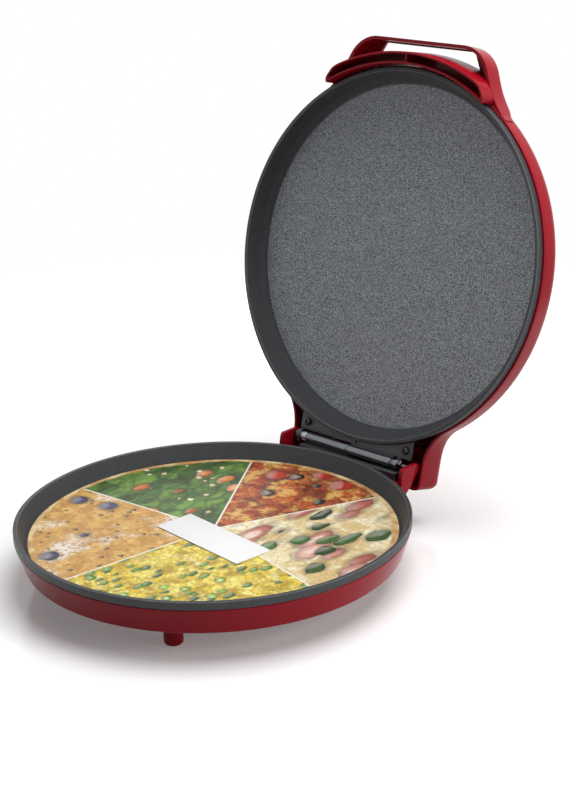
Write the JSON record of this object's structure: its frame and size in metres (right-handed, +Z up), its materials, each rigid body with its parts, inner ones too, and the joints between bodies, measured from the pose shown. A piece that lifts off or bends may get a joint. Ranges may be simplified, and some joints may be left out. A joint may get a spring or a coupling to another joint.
{
  "type": "electric pizza maker",
  "caption": "Round countertop cooker with shallow non-stick pans, a lid hinged at the back and a looped front handle, shown open on its feet.",
  "frame": {"origin": "middle of the box of the open machine, on the table under its feet", "axes": "+X to the machine's right seen from the front, +Y to its back, +Z up; the front of the base is at -Y"},
  "size_m": [0.324, 0.4414, 0.3952],
  "materials": {
    "red_lacquer": "gloss",
    "non_stick_black": "satin non-stick coating",
    "satin_black_steel": "satin",
    "bright_steel": "plain",
    "heater_steel": "dull",
    "reflector_aluminium": "plain",
    "black_plastic": "matte",
    "white_ceramic": "matte",
    "lead_sleeving": "woven sleeving",
    "printed_card": "printed, satin",
    "blank_label": "satin"
  },
  "bodies": {
    "base": {"base_heater": "heater_steel", "base_hinge_leaf": "satin_black_steel", "base_lead_1": "lead_sleeving", "base_lead_2": "lead_sleeving", "base_lead_3": "lead_sleeving", "base_lead_4": "lead_sleeving", "base_leaf_screws_1": "bright_steel", "base_leaf_screws_2": "bright_steel", "base_leaf_screws_3": "bright_steel", "base_pan": "non_stick_black", "base_pan_screws_1": "bright_steel", "base_pan_screws_2": "bright_steel", "base_pan_screws_3": "bright_steel", "base_reflector": "bright_steel", "base_reflector_screw": "bright_steel", "base_shell": "red_lacquer", "base_thermal_fuse": "reflector_aluminium", "card_label": "blank_label", "cord_gland": "black_plastic", "food_card": "printed_card", "foot_back_left": "red_lacquer", "foot_back_right": "red_lacquer", "foot_front_left": "red_lacquer", "foot_front_right": "red_lacquer", "hinge_bush": "bright_steel", "hinge_nut": "bright_steel", "hinge_pin": "bright_steel", "hinge_spacer_left": "bright_steel", "hinge_spacer_right": "bright_steel", "terminal_block": "white_ceramic", "thermostat": "white_ceramic"},
    "lid": {"handle_screws_1": "bright_steel", "handle_screws_2": "bright_steel", "lid_handle": "red_lacquer", "lid_heater": "heater_steel", "lid_hinge_leaf": "satin_black_steel", "lid_lead_1": "lead_sleeving", "lid_lead_2": "lead_sleeving", "lid_lead_3": "lead_sleeving", "lid_leaf_screws_1": "bright_steel", "lid_leaf_screws_2": "bright_steel", "lid_pan": "non_stick_black", "lid_pan_post_1": "bright_steel", "lid_pan_post_2": "bright_steel", "lid_pan_post_3": "bright_steel", "lid_reflector": "reflector_aluminium", "lid_reflector_screw": "bright_steel", "lid_shell": "red_lacquer", "lid_thermal_fuse": "reflector_aluminium"}
  },
  "joints": [
    {"name": "lid_hinge", "type": "hinge", "parent": "base", "child": "lid", "pos_m": [0, 0.11017, 0.05343], "axis": [1, 0, 0], "range_deg": [0, 104.4]}
  ]
}
